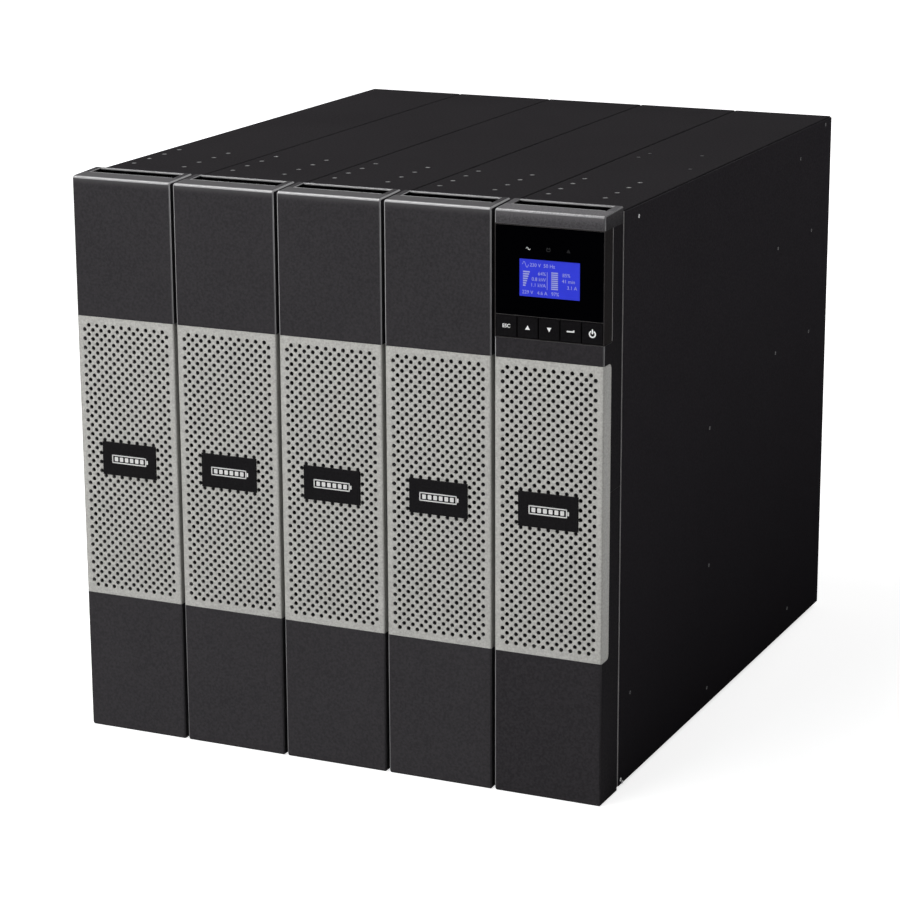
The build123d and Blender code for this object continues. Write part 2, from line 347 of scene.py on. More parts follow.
def makeWearAndHighlightGroup():
    # mask of edges and corners painted a little lighter, partly wear and partly a painted highlight, broken
    # up by noise
    group, given, result = newGroup("edgeWearAndHighlight", {"Width": 0.0006, "Amount": 0.5}, ("Mask",))
    bevel = newNode(group, "Bevel", {"Radius": given["Width"]}, samples=wearAndHighlightSpec["samples"])
    dot = newNode(group, "VectorMath", {0: bevel.outputs["Normal"], 1: faceNormal(group)},
                  operation="DOT_PRODUCT")
    bent = mathNode(group, "SUBTRACT", 1.0, dot.outputs["Value"], clamp=True)
    patches = noiseNode(group, objectPlace(group), *wearAndHighlightSpec["patches"])
    mask = product(group, bent, patches, given["Amount"], wearAndHighlightSpec["strength"], clamp=True)
    feed(group, result["Mask"], mask)
    return group


dustSpec = {"steepness": 3.0, "clouds": (9.0, 4.0, 0.62), "specks": (420.0, 2.0, 0.7), "cloudShare": 0.7,
            "speckShare": 0.3}


def makeDustGroup():
    # thin dust that lies on faces that look up, thicker in places
    group, given, result = newGroup("settledDust", {"Amount": 0.2}, ("Mask",))
    spec, place = dustSpec, objectPlace(group)
    upward = mathNode(group, "MAXIMUM", axesOf(group, faceNormal(group))["Z"], 0.0)
    facing = mathNode(group, "POWER", upward, spec["steepness"])
    clouds = noiseNode(group, place, *spec["clouds"])
    specks = noiseNode(group, place, *spec["specks"])
    both = weighted(group, clouds, spec["cloudShare"], specks, spec["speckShare"])
    feed(group, result["Mask"], product(group, facing, both, given["Amount"], clamp=True))
    return group


edgeHighlightSpec = {"floor": 0.02, "top": 0.42, "foremost": -0.26225, "behind": -0.26195, "foreShare": 0.3,
               "sideways": 1.5, "raised": 2.6}


def makeEdgeHighlightGroup():
    # painted highlights: a mask that is one on bevels and rounded edges, which face between the main
    # directions, and less near the floor;
    # Right is also dimmer on the foremost part of the bezel's chamfer
    group, given, result = newGroup("paintedEdgeHighlights", {"Low": 0.004, "High": 0.05}, ("Right", "Left", "Raised"))
    spec, normal = edgeHighlightSpec, axesOf(group, faceNormal(group))
    sizes = [mathNode(group, "ABSOLUTE", normal[axis]) for axis in "XYZ"]
    largest = mathNode(group, "MAXIMUM", mathNode(group, "MAXIMUM", sizes[0], sizes[1]), sizes[2])
    mask = spread(group, mathNode(group, "SUBTRACT", 1.0, largest), given["Low"], given["High"],
                  shape="SMOOTHSTEP")
    place = axesOf(group, objectPlace(group))
    rise = spread(group, place["Z"], spec["floor"], spec["top"])
    half = mathNode(group, "ADD", product(group, rise, 0.5), 0.5)
    fore = spread(group, place["Y"], spec["foremost"], spec["behind"], spec["foreShare"])
    for label, factor, fade in (("Left", -spec["sideways"], half),
                                ("Right", spec["sideways"], product(group, rise, rise, fore))):
        turned = product(group, normal["X"], factor, clamp=True)
        feed(group, result[label], product(group, turned, mask, fade))
    ahead = mathNode(group, "MAXIMUM", product(group, normal["Y"], -1.0), 0.0)
    upward = mathNode(group, "MAXIMUM", normal["Z"], 0.0)
    raised = product(group, ahead, upward, spec["raised"], clamp=True)
    feed(group, result["Raised"], product(group, mask, raised))
    return group


ledgeLightSpec = {"level": 0.99, "behind": 0.35, "bandLow": 0.4310, "bandHigh": 0.4385}


def makeLedgeLightGroup():
    # painted light: one on flat ledges that look up, strongest in front of the line that Near and Far give;
    # Brow is a painted highlight, a soft band on the front faces just under the top edge
    group, given, result = newGroup("paintedTopLight", {"Near": -0.2470, "Far": -0.2455}, ("Ledge", "Brow"))
    spec, normal = ledgeLightSpec, axesOf(group, faceNormal(group))
    place = axesOf(group, objectPlace(group))
    level = mathNode(group, "GREATER_THAN", normal["Z"], spec["level"])
    front = spread(group, place["Y"], given["Near"], given["Far"], 1.0, spec["behind"])
    feed(group, result["Ledge"], product(group, level, front))
    band = spread(group, place["Z"], spec["bandLow"], spec["bandHigh"], shape="SMOOTHSTEP")
    ahead = product(group, normal["Y"], -1.0, clamp=True)
    feed(group, result["Brow"], product(group, band, band, ahead))
    return group


grainGroup = makeGrainGroup()
wearAndHighlightGroup = makeWearAndHighlightGroup()
dustGroup = makeDustGroup()
edgeHighlightGroup = makeEdgeHighlightGroup()
ledgeLightGroup = makeLedgeLightGroup()


def groupNode(tree, group, **values):
    node = newNode(tree, "Group", node_tree=group)
    for label, value in values.items():
        node.inputs[label.replace("_", " ")].default_value = value
    return node.outputs


def newFinish(name, settings):
    # the shader's fixed values are set here, and the rest is fed by each finish
    finish = bpy.data.materials.new(name)
    finish.use_nodes = True
    tree = finish.node_tree
    shader = tree.nodes["Principled BSDF"].inputs
    for label, value in settings.items():
        feed(tree, shader[label], value)
    return finish, tree, shader


def grey(value):
    return (value, value, value)


coatSpec = {"toneShare": 0.65, "cloudShare": 0.35, "dustColour": (0.42, 0.41, 0.39), "roughSpread": 0.12,
            "dustRough": 0.3, "bumpHeight": 0.0001}


def coatedFinish(name, dark, light, grain, cloud, bump, roughness, metallic=0.0, wearAndHighlight=0.0,
                 wearAndHighlightColour=grey(0.2), dust=0.0, specular=0.0, edge=0.0002, paintedLightAndCoat=None, brow=None,
                 paintedShade=None):
    # the common build: two tones through the grain, edge wear that is partly a painted highlight, dust, and a
    # grain bump
    finish, tree, shader = newFinish(name, {"Metallic": metallic, "Specular IOR Level": specular})
    spec = coatSpec
    grained = groupNode(tree, grainGroup, Grain_Scale=grain, Cloud_Scale=cloud)
    dusty = groupNode(tree, dustGroup, Amount=dust)["Mask"]
    tone = weighted(tree, grained["Tone"], spec["toneShare"], grained["Cloud"], spec["cloudShare"])
    base = mixColour(tree, tone, dark, light)
    # edges painted lighter: wear and a painted highlight
    base = mixColour(tree, groupNode(tree, wearAndHighlightGroup, Width=edge, Amount=wearAndHighlight)["Mask"], base, wearAndHighlightColour)
    base = mixColour(tree, dusty, base, spec["dustColour"])
    if paintedLightAndCoat:
        # painted highlights on rounded edges, most on the upper ones, and painted light on the ledges and the
        # brow
        highlights, ledge = groupNode(tree, edgeHighlightGroup), groupNode(tree, ledgeLightGroup)
        for mask, colour in ((ledge["Ledge"], "ledge"), (ledge["Brow"], "brow"), (highlights["Right"], "right"),
                             (highlights["Left"], "left"), (highlights["Raised"], "top")):
            base = mixColour(tree, mask, base, paintedLightAndCoat[colour])
        feed(tree, shader["Coat Weight"], product(tree, highlights["Raised"], paintedLightAndCoat["shine"]))
        feed(tree, shader["Coat Roughness"], paintedLightAndCoat["roughness"])
        feed(tree, shader["Coat IOR"], paintedLightAndCoat["ior"])
    if brow:
        # painted light on the cap's front, lighter towards its top
        base = browHighlight(tree, base, brow)
    if paintedShade:
        # painted shade: the coat is painted darker towards the floor
        height = axesOf(tree, objectPlace(tree))["Z"]
        below = spread(tree, height, paintedShade["top"], 0.0, 0.0, paintedShade["share"])
        base = mixColour(tree, below, base, paintedShade["colour"])
    feed(tree, shader["Base Color"], base)
    rough = mathNode(tree, "ADD", product(tree, grained["Cloud"], spec["roughSpread"]),
                     roughness - spec["roughSpread"] / 2)
    rough = mathNode(tree, "ADD", rough, product(tree, dusty, spec["dustRough"]), clamp=True)
    feed(tree, shader["Roughness"], rough)
    rounded = newNode(tree, "Bevel", {"Radius": edge}, samples=wearAndHighlightSpec["samples"])
    bumped = newNode(tree, "Bump", {"Distance": spec["bumpHeight"], "Strength": bump,
                                    "Height": grained["Height"], "Normal": rounded.outputs["Normal"]})
    feed(tree, shader["Normal"], bumped.outputs["Normal"])
    return finish


def browHighlight(tree, base, brow):
    # painted light: the cap over the display is painted lighter towards its top, in coarser blotches than the
    # rest of its moulding
    place = objectPlace(tree)
    height = axesOf(tree, place)["Z"]
    above = spread(tree, height, brow["bottom"], brow["top"], brow["low"])
    inside = mathNode(tree, "GREATER_THAN", height, brow["bottom"])
    blotches = spread(tree, noiseNode(tree, place, *brow["noise"]), *brow["blotches"])
    return mixColour(tree, product(tree, above, inside, blotches), base, brow["colour"])


inkSpec = {"grain": 2600.0, "cloud": 60.0, "darkInk": 0.88, "darkGlow": 0.9, "roughness": 0.35,
           "specular": 0.05}


def glowFinish(name, colour, glow, strength):
    # printed or lit marks: a fine unevenness in the ink, and a little light of their own
    spec = inkSpec
    finish, tree, shader = newFinish(name, {"Emission Strength": strength, "Roughness": spec["roughness"],
                                            "Specular IOR Level": spec["specular"]})
    grained = groupNode(tree, grainGroup, Grain_Scale=spec["grain"], Cloud_Scale=spec["cloud"])
    for label, mask, pale, share in (("Base Color", "Tone", colour, spec["darkInk"]),
                                     ("Emission Color", "Cloud", glow, spec["darkGlow"])):
        feed(tree, shader[label], mixColour(tree, grained[mask], tuple(share * part for part in pale), pale))
    return finish


windowSpec = {"grain": 500.0, "cloud": 20.0, "dark": (0.0003, 0.0003, 0.0006),
              "light": (0.0009, 0.0009, 0.0014), "roughSpread": 0.06, "roughness": 0.05}


def windowFinish():
    spec = windowSpec
    finish, tree, shader = newFinish("smokedWindow", {"Specular IOR Level": 0.0})
    cloud = groupNode(tree, grainGroup, Grain_Scale=spec["grain"], Cloud_Scale=spec["cloud"])["Cloud"]
    feed(tree, shader["Base Color"], mixColour(tree, cloud, spec["dark"], spec["light"]))
    rough = mathNode(tree, "ADD", product(tree, cloud, spec["roughSpread"]), spec["roughness"])
    feed(tree, shader["Roughness"], rough)
    return finish


panelSpec = {"pitch": 0.00036, "dotShare": 0.35, "cloudShare": 0.65, "clouds": (55.0, 2.0, 0.5),
             "base": ((0.013, 0.019, 0.31), (0.022, 0.032, 0.42)),
             "glow": ((0.040, 0.055, 0.82), (0.062, 0.085, 1.0)),
             "shader": {"Emission Strength": 0.36, "Roughness": 0.22, "Specular IOR Level": 0.02}}


def screenFinish():
    # backlit blue panel: uneven light, with a fine dot matrix
    spec = panelSpec
    finish, tree, shader = newFinish("backlitScreen", spec["shader"])
    place = objectPlace(tree)
    lines = []
    for axis in "XZ":
        wave = mathNode(tree, "SINE", product(tree, axesOf(tree, place)[axis], 2 * math.pi / spec["pitch"]))
        lines.append(product(tree, mathNode(tree, "ADD", wave, 1.0), 0.5))
    clouds = noiseNode(tree, place, *spec["clouds"])
    shade = weighted(tree, product(tree, *lines), spec["dotShare"], clouds, spec["cloudShare"])
    feed(tree, shader["Base Color"], mixColour(tree, shade, *spec["base"]))
    feed(tree, shader["Emission Color"], mixColour(tree, shade, *spec["glow"]))
    return finish


# painted highlight and painted light colours by place on the moulding, and the settings of the real coat on
# the raised edges
edgePaintedLightAndCoat = {"right": (0.46, 0.455, 0.466), "left": (0.34, 0.337, 0.343), "top": (0.30, 0.297, 0.302),
              "ledge": (0.125, 0.122, 0.126), "brow": (0.085, 0.083, 0.086), "shine": 1.0, "roughness": 0.28,
              "ior": 1.7}
capPaintedLightAndCoat = dict(edgePaintedLightAndCoat, ledge=(0.27, 0.266, 0.272), top=(0.40, 0.397, 0.403), brow=(0.11, 0.107, 0.112))
capBrowHighlight = {"bottom": 0.4288, "top": 0.4400, "low": 0.45, "noise": (700, 3.0, 0.6),
           "blotches": (0.3, 0.7, 0.4), "colour": (0.125, 0.121, 0.127)}
# painted shade low on the side cover
sidePaintedShade = {"top": 0.40, "share": 0.75, "colour": (0.012, 0.011, 0.013)}

# In each row: dark and light tone, scale of the grain and of the clouds, bump and roughness
finishes = {
    "caseTop": coatedFinish(
        "powderCoatTop", (0.0205, 0.0190, 0.0208), (0.0350, 0.0328, 0.0355), 1500, 10, 0.5, 0.52,
        wearAndHighlight=0.35, wearAndHighlightColour=grey(0.09), dust=0.008, edge=0.0006),
    "sideCover": coatedFinish(
        "powderCoatSide", (0.0330, 0.0300, 0.0342), (0.0520, 0.0480, 0.0540), 1500, 8, 0.5, 0.5,
        wearAndHighlight=0.3, wearAndHighlightColour=grey(0.08), dust=0.02, edge=0.0005, paintedShade=sidePaintedShade),
    "bezel": coatedFinish(
        "grainedPlastic", (0.0320, 0.0302, 0.0328), (0.0480, 0.0455, 0.0490), 1300, 18, 0.9, 0.42,
        wearAndHighlight=0.5, wearAndHighlightColour=grey(0.12), dust=0.02, edge=0.0006, paintedLightAndCoat=edgePaintedLightAndCoat),
    "cappedBezel": coatedFinish(
        "grainedPlasticWithCap", (0.0247, 0.0231, 0.0253), (0.0385, 0.0361, 0.0393), 1300, 18, 0.9, 0.42,
        wearAndHighlight=0.5, wearAndHighlightColour=grey(0.12), dust=0.02, edge=0.0006, paintedLightAndCoat=capPaintedLightAndCoat, brow=capBrowHighlight),
    # this and the next two are light finishes for thin beads: painted highlights
    "flange": coatedFinish(
        "flangeHighlightPaint", (0.31, 0.30, 0.304), (0.42, 0.405, 0.412), 1800, 40, 0.1, 0.3, specular=0.1),
    "rim": coatedFinish("rimHighlightPaint", (0.080, 0.077, 0.080), (0.125, 0.121, 0.125), 1800, 40, 0.1, 0.4),
    "lip": coatedFinish(
        "lipHighlightPaint", (0.20, 0.195, 0.20), (0.30, 0.295, 0.30), 1800, 40, 0.1, 0.3, specular=0.6),
    "grille": coatedFinish(
        "silverGrillePaint", (0.28, 0.277, 0.262), (0.445, 0.44, 0.416), 1700, 22, 0.55, 0.5,
        metallic=0.2, wearAndHighlight=0.3, wearAndHighlightColour=(0.66, 0.655, 0.63), dust=0.02, specular=0.5, edge=0.0003),
    "badge": coatedFinish(
        "badgePlastic", (0.006, 0.0056, 0.0062), (0.012, 0.0113, 0.0124), 1500, 30, 0.5, 0.4,
        wearAndHighlight=0.5, wearAndHighlightColour=grey(0.09), specular=0.02, edge=0.0003),
    "rearFitting": coatedFinish(
        "socketPlastic", (0.012, 0.012, 0.0125), (0.022, 0.022, 0.023), 1200, 30, 0.4, 0.5,
        wearAndHighlight=0.2, dust=0.08, specular=0.5, edge=0.0003),
    "pad": coatedFinish(
        "rubberPad", grey(0.012), (0.022, 0.022, 0.021), 900, 24, 1.0, 0.85,
        dust=0.3, specular=0.5, edge=0.0008),
    "displayBody": coatedFinish(
        "displayHousingPlastic", (0.030, 0.0275, 0.0275), (0.046, 0.042, 0.0422), 1500, 20, 0.5, 0.42,
        wearAndHighlight=0.8, wearAndHighlightColour=grey(0.14), dust=0.02, edge=0.0004),
    "key": coatedFinish(
        "keyPlastic", (0.0064, 0.0060, 0.0066), (0.0105, 0.0100, 0.0108), 2200, 40, 0.25, 0.36,
        wearAndHighlight=0.3, wearAndHighlightColour=grey(0.03), edge=0.0005),
    "steel": coatedFinish(
        "platedSteel", (0.34, 0.34, 0.35), (0.52, 0.52, 0.53), 900, 30, 0.3, 0.34,
        metallic=1.0, wearAndHighlight=0.2, wearAndHighlightColour=grey(0.75), dust=0.03, specular=0.5, edge=0.0003),
    "zincPlate": coatedFinish(
        "zincPlate", (0.17, 0.17, 0.175), (0.25, 0.25, 0.256), 1100, 14, 0.2, 0.44,
        metallic=0.85, wearAndHighlight=0.3, wearAndHighlightColour=grey(0.5), dust=0.02, specular=0.5, edge=0.0003),
    "darkSteel": coatedFinish(
        "blackScrewSteel", (0.05, 0.048, 0.052), (0.10, 0.098, 0.103), 1200, 40, 0.3, 0.36,
        metallic=0.3, wearAndHighlight=0.3, specular=0.05),
    # near-black for recesses, bores and slots: painted shade
    "hollowShade": coatedFinish(
        "paintedHollowShade", (0.0015, 0.0015, 0.0016), (0.0035, 0.0034, 0.0036), 900, 40, 0.4, 0.8),
    "legend": glowFinish("whiteLegend", grey(0.82), grey(1.0), 0.12),
    "mark": glowFinish("paleMark", (0.72, 0.72, 0.71), grey(1.0), 0.05),
    "screenInk": glowFinish("screenInk", (0.20, 0.215, 0.44), (0.50, 0.53, 0.90), 0.30),
    "iconLit": glowFinish("litIndicator", (0.75, 0.75, 0.74), (1.0, 1.0, 0.98), 0.25),
    "iconDim": glowFinish("dimIndicator", (0.022, 0.022, 0.023), grey(0.06), 0.03),
    "iconFaint": glowFinish("faintIndicator", (0.008, 0.008, 0.009), grey(0.03), 0.01),
    "window": windowFinish(),
    "screen": screenFinish(),
}

nodeFinishes = {
    "battery_case": "caseTop", "ups_case": "caseTop", "ups_side_cover": "sideCover", "battery_bezel": "bezel",
    "ups_bezel": "cappedBezel", "battery_grille": "grille", "ups_grille": "grille", "battery_badge": "badge",
    "ups_badge": "badge", "battery_connectors": "rearFitting", "battery_foot": "pad", "ups_foot": "pad",
    "display_housing": "displayBody", "display_window": "window", "lcd_screen": "screen", "key_": "key",
    "outlet_bank": "rearFitting", "power_inlet": "rearFitting", "battery_socket": "rearFitting",
    "data_ports": "zincPlate", "card_slot_cover": "zincPlate", "fan_guard": "zincPlate",
}
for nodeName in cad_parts:
    for start, finishName in nodeFinishes.items():
        if nodeName.startswith(start):
            cadMesh = bpy.data.objects[nodeName].data
            cadMesh.materials.clear()
            cadMesh.materials.append(finishes[finishName])
print("stage: finishes made")


# Perforated grilles

grilleSpec = {
    "top": 0.3318, "bottom": 0.1107, "fold": 0.0014, "foldSteps": 6, "wrap": 0.0140, "wingCorner": 0.0040,
    "cornerSteps": 5, "skin": 0.0012, "smooth": 40, "merge": 1e-6,
    "holeRadius": 0.00162, "holeSides": 12, "pitchAcross": 0.00716, "pitchUp": 0.00715,
    "firstRowDrop": 0.0069,
    "rows": ((10, 30, 0.0), (11, 29, 0.5)),  # holes in a row, number of rows, and the share of a pitch lower
}


def makeGrille():
    spec = grilleSpec
    front = layout["bezelFront"]
    half = layout["bezelWidth"] / 2
    flat = half - spec["fold"]
    middle = (spec["top"] + spec["bottom"]) / 2
    deselectAll()
    bpy.ops.mesh.primitive_plane_add(size=1, location=(0, front, middle), rotation=facingFront)
    sheet = named("grilleSheet")
    sheet.scale = (2 * flat, spec["top"] - spec["bottom"], 1)
    settle(sheet)
    startEdit(sheet)
    for side in (-1, 1):
        # fold each side edge round by a quarter turn, then pull it back into a wing
        chooseEdges(sheet, lambda a, b: max(abs(a.x - side * flat), abs(b.x - side * flat)) < hair)
        bpy.ops.mesh.spin(steps=spec["foldSteps"], angle=-side * math.pi / 2, axis=(0, 0, 1),
                          center=(side * flat, front + spec["fold"], middle))
        chooseEdges(sheet, lambda a, b: max(abs(a.x - side * half), abs(b.x - side * half)) < hair)
        bpy.ops.mesh.extrude_region_move(
            TRANSFORM_OT_translate={"value": (0, spec["wrap"] - spec["fold"], 0)})
    chooseVerts(sheet, lambda v: v.y > front + spec["wrap"] - hair)
    bpy.ops.mesh.bevel(offset=spec["wingCorner"], segments=spec["cornerSteps"], affect="VERTICES")
    bpy.ops.mesh.select_all(action="SELECT")
    bpy.ops.mesh.remove_doubles(threshold=spec["merge"])
    bpy.ops.mesh.normals_make_consistent(inside=False)
    endEdit()
    # the front's normal has to look forwards before the sheet gets its thickness
    if sum(face.normal.y * face.area for face in sheet.data.polygons) > 0:
        startEdit(sheet)
        bpy.ops.mesh.select_all(action="SELECT")
        bpy.ops.mesh.flip_normals()
        endEdit()
    walled(sheet, spec["skin"])

    punches = []
    for count, rows, lower in spec["rows"]:
        left = -(count - 1) / 2 * spec["pitchAcross"]
        high = spec["top"] - spec["firstRowDrop"] - lower * spec["pitchUp"]
        punch = newCylinder("punch", spec["holeSides"], spec["holeRadius"], 4 * spec["skin"],
                            (left, front, high), facingFront)
        for times, step in ((count, (spec["pitchAcross"], 0, 0)), (rows, (0, 0, -spec["pitchUp"]))):
            line = punch.modifiers.new("line", "ARRAY")
            line.use_relative_offset = False
            line.use_constant_offset = True
            line.constant_offset_displace = step
            line.count = times
        punches.append(applyModifiers(punch))
    punch = joined("punches", punches)
    cut = sheet.modifiers.new("perforate", "BOOLEAN")
    cut.operation = "DIFFERENCE"
    cut.solver = "MANIFOLD"
    cut.object = punch
    applyModifiers(sheet)
    discard(punch)
    return smoothByAngle(sheet, spec["smooth"])


def placeGrilles():
    source = makeGrille()
    for module, x in modules.items():
        piece = copied(source, module + "_perforated_grille", (x, 0, 0))
        dress(piece, "grille")
        node = "ups_grille" if module == "ups" else "battery_grille_" + module[-1]
        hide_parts(node)
    discard(source)


# Marks on the screen, the keys and the badges

markSpec = {"thickness": 0.00012, "sink": 0.00004, "corner": 0.18, "ringSides": 40, "ringGap": 0.34}
markFront = markSpec["sink"] - markSpec["thickness"]
markMiddle = markSpec["sink"] - markSpec["thickness"] / 2


def solidMark(name):
    # gives a flat shape or text a slight thickness
    pick(bpy.context.object)
    bpy.ops.object.convert(target="MESH")
    return walled(settle(named(name)), markSpec["thickness"])


def writeMark(name, words, x, z, height, face, align="CENTER", weight=0.0):
    deselectAll()
    bpy.ops.object.text_add(location=(x, face + markFront, z), rotation=facingFront)
    text = bpy.context.object.data
    text.body = words
    text.size = height
    text.align_x = align
    text.align_y = "CENTER"
    text.offset = weight
    text.resolution_u = 4
    return solidMark(name)


def flatBar(name, x, z, width, height, face):
    # a small raised bar with softened corners
    return softBlock(name, (width, markSpec["thickness"], height), (x, face + markMiddle, z), 1,
                     min(width, height) * markSpec["corner"])


def frameBars(name, x, z, width, height, line, face):
    # a rectangle's outline from four bars
    across, up = (width - line) / 2, (height - line) / 2
    return ([flatBar(name, x, z + side * up, width, line, face) for side in (1, -1)]
            + [flatBar(name, x + side * across, z, line, height, face) for side in (-1, 1)])


def triangleMark(name, x, z, size, face, turn=0):
    return newCylinder(name, 3, size, markSpec["thickness"], (x, face + markMiddle, z),
                       (math.pi / 2, turn, 0))


def ringMark(name, x, z, radius, line, face):
    # a flat ring with a gap at the top, for the upright bar of the power sign
    ring = newDisc(name, markSpec["ringSides"], radius, (x, face + markFront, z), facingFront)
    startEdit(ring)
    insetFaces(ring, everyFace, (line, 0.0))
    deleteFaces(ring, lambda c, n: max(abs(c.x - x), abs(c.z - z)) < line / 4)
    deleteFaces(ring, lambda c, n: c.z > z and abs(c.x - x) < radius * markSpec["ringGap"])
    endEdit()
    return solidMark(name)


waveSpec = {"points": ((-0.5, 1), (0, -1), (0.5, 1)), "reach": 0.18, "swing": 0.9}


def waveMark(name, x, z, width, height, line, face):
    # one period of a sine, drawn with a thin curve
    deselectAll()
    bpy.ops.curve.primitive_bezier_curve_add(location=(x, face + markSpec["sink"], z))
    wave = bpy.context.object
    wave.data.bevel_depth = line / 2
    wave.data.bevel_resolution = 2
    wave.data.resolution_u = 8
    spline = wave.data.splines[0]
    spline.bezier_points.add(1)
    for point, (across, slope) in zip(spline.bezier_points, waveSpec["points"]):
        reach, swing = waveSpec["reach"] * width, slope * height * waveSpec["swing"]
        point.co = (across * width, 0, 0)
        point.handle_left = (point.co.x - reach, 0, -swing)
        point.handle_right = (point.co.x + reach, 0, swing)
    pick(wave)
    bpy.ops.object.convert(target="MESH")
    return settle(named(name))


# Places on the screen are measured across and down from its upper left corner
screenSpec = {
    "face": -0.2622, "left": 0.151, "top": 0.4046, "text": 0.0036,
    "figures": (("230 V  50 Hz", 0.0078, 0.0040, "LEFT"), ("64%", 0.0202, 0.0099, "RIGHT"),
                ("0.8 kW", 0.0202, 0.0141, "RIGHT"), ("1.1 kVA", 0.0202, 0.0183, "RIGHT"),
                ("85%", 0.0328, 0.0097, "LEFT"), ("41 min", 0.0325, 0.0139, "LEFT"),
                ("3.1 A", 0.0440, 0.0184, "RIGHT"), ("229 V   4.6 A   97%", 0.0020, 0.0238, "LEFT")),
    "gauges": ({"left": 0.0027, "top": 0.0090, "step": 0.00165, "bars": 7, "wide": 0.0052, "narrow": 0.0020,
                "thick": 0.0010},
               {"left": 0.0243, "top": 0.0085, "step": 0.00145, "bars": 9, "wide": 0.0052, "narrow": 0.0052,
                "thick": 0.0009}),
    "divider": {"across": 0.0212, "down": 0.0146, "size": (0.0003, 0.0128)},
    "wave": {"across": 0.0046, "down": 0.0038, "size": (0.0046, 0.0030, 0.0004)},
}


def makeScreenPicture():
    # plain figures and bars in the layout that such a status page has
    spec = screenSpec
    face, left, top = spec["face"], spec["left"], spec["top"]
    marks = [writeMark("figure", words, left + across, top - down, spec["text"], face, align)
             for words, across, down, align in spec["figures"]]
    for gauge in spec["gauges"]:
        for step in range(gauge["bars"]):
            wide = gauge["wide"] + (gauge["narrow"] - gauge["wide"]) * step / (gauge["bars"] - 1)
            marks.append(flatBar("bar", left + gauge["left"] + wide / 2,
                                 top - gauge["top"] - step * gauge["step"], wide, gauge["thick"], face))
    for draw, part in ((flatBar, "divider"), (waveMark, "wave")):
        sign = spec[part]
        marks.append(draw(part, left + sign["across"], top - sign["down"], *sign["size"], face))
    dress(joined("screen_picture", marks), "screenInk")


indicatorSpec = {
    "face": -0.2626,
    "mains": (0.1577, 0.4123, 0.0032, 0.0013, 0.00034),
    "battery": (0.1732, 0.4122, 0.0031, 0.0022, 0.0004),
    "poles": {"reach": 0.0009, "z": 0.4136, "size": (0.0007, 0.0006)},
    "fault": (0.1885, 0.4123, 0.0018),
}


def makeIndicators():
    # wave, battery and fault signs above the screen; only the first is lit
    spec, face = indicatorSpec, indicatorSpec["face"]
    dress(waveMark("indicator_mains", *spec["mains"], face), "iconLit")
    poles = spec["poles"]
    battery = frameBars("battery", *spec["battery"], face)
    battery += [flatBar("pole", spec["battery"][0] + side * poles["reach"], poles["z"], *poles["size"], face)
                for side in (-1, 1)]
    dress(joined("indicator_battery", battery), "iconDim")
    dress(triangleMark("indicator_fault", *spec["fault"], face), "iconFaint")


keySpec = {
    "face": -0.2626, "pitch": 0.0165, "middle": 0.3551, "first": 0.141,
    "text": 0.0037, "weight": 0.00008,
    "arrow": 0.0021, "arrowDrop": 0.0004,
    "shaft": (0.0052, 0.0010), "rise": (0.00235, 0.0004, 0.0009, 0.0017), "head": (0.0025, 0.0010),
    "ring": (0.0003, 0.0027, 0.0010), "bar": (0.0015, 0.0010, 0.0034),
}


def makeLegends():
    # each legend rides on its own key
    spec, face, z = keySpec, keySpec["face"], keySpec["middle"]
    escape, up, down, enter, power = (spec["first"] + step * spec["pitch"] for step in range(5))
    across, rise, wide, high = spec["rise"]
    reach, size = spec["head"]
    drop, radius, line = spec["ring"]
    lift, *bar = spec["bar"]
    legends = {
        "escape": [writeMark("word", "ESC", escape, z, spec["text"], face, weight=spec["weight"])],
        "up": [triangleMark("arrow", up, z - spec["arrowDrop"], spec["arrow"], face)],
        "down": [triangleMark("arrow", down, z + spec["arrowDrop"], spec["arrow"], face, math.pi)],
        "enter": [flatBar("shaft", enter, z, *spec["shaft"], face),
                  flatBar("rise", enter + across, z + rise, wide, high, face),
                  triangleMark("head", enter - reach, z, size, face, -math.pi / 2)],
        "power": [ringMark("ring", power, z - drop, radius, line, face),
                  flatBar("bar", power, z + lift, *bar, face)],
    }
    for key, marks in legends.items():
        dress(joined("legend_" + key, marks), "legend", "key_" + key + "_body")


badgeSpec = {"face": -0.2634, "middle": 0.22125, "height": 0.0066, "width": 0.030, "line": 0.0008,
             "pole": (0.0009, 0.0012, 0.0030), "bars": 6, "firstBar": -0.0112, "barStep": 0.00448,
             "barWidth": 0.0030, "barGap": 0.0032}


def makeBadgeMarks():
    # a battery sign with its charge bars on all five badges
    spec = badgeSpec
    face, z = spec["face"], spec["middle"]
    reach, wide, high = spec["pole"]
    bars = frameBars("outline", 0, z, spec["width"], spec["height"], spec["line"], face)
    bars.append(flatBar("pole", spec["width"] / 2 + reach, z, wide, high, face))
    for step in range(spec["bars"]):
        bars.append(flatBar("charge", spec["firstBar"] + step * spec["barStep"], z, spec["barWidth"],
                            spec["height"] - spec["barGap"], face))
    dressModules("_badge_mark", joined("badgeSource", bars), "mark")


# Rail inserts and small screws

insertSpec = {
    "rowShift": -0.0099, "rowSpread": 0.022225, "depths": (-0.1876, -0.1641, -0.1406, -0.1171),
    "collar": (0.00205, 0.0006), "rim": (0.0015, 0.0009),  # radius and width
    "proud": 0.00018, "wallDepth": 0.8, "insets": (0.3, 0.7), "sides": 20,
    "boreShare": 0.98, "boreLift": 0.15, "boreInset": (0.0003, -0.00002),
}


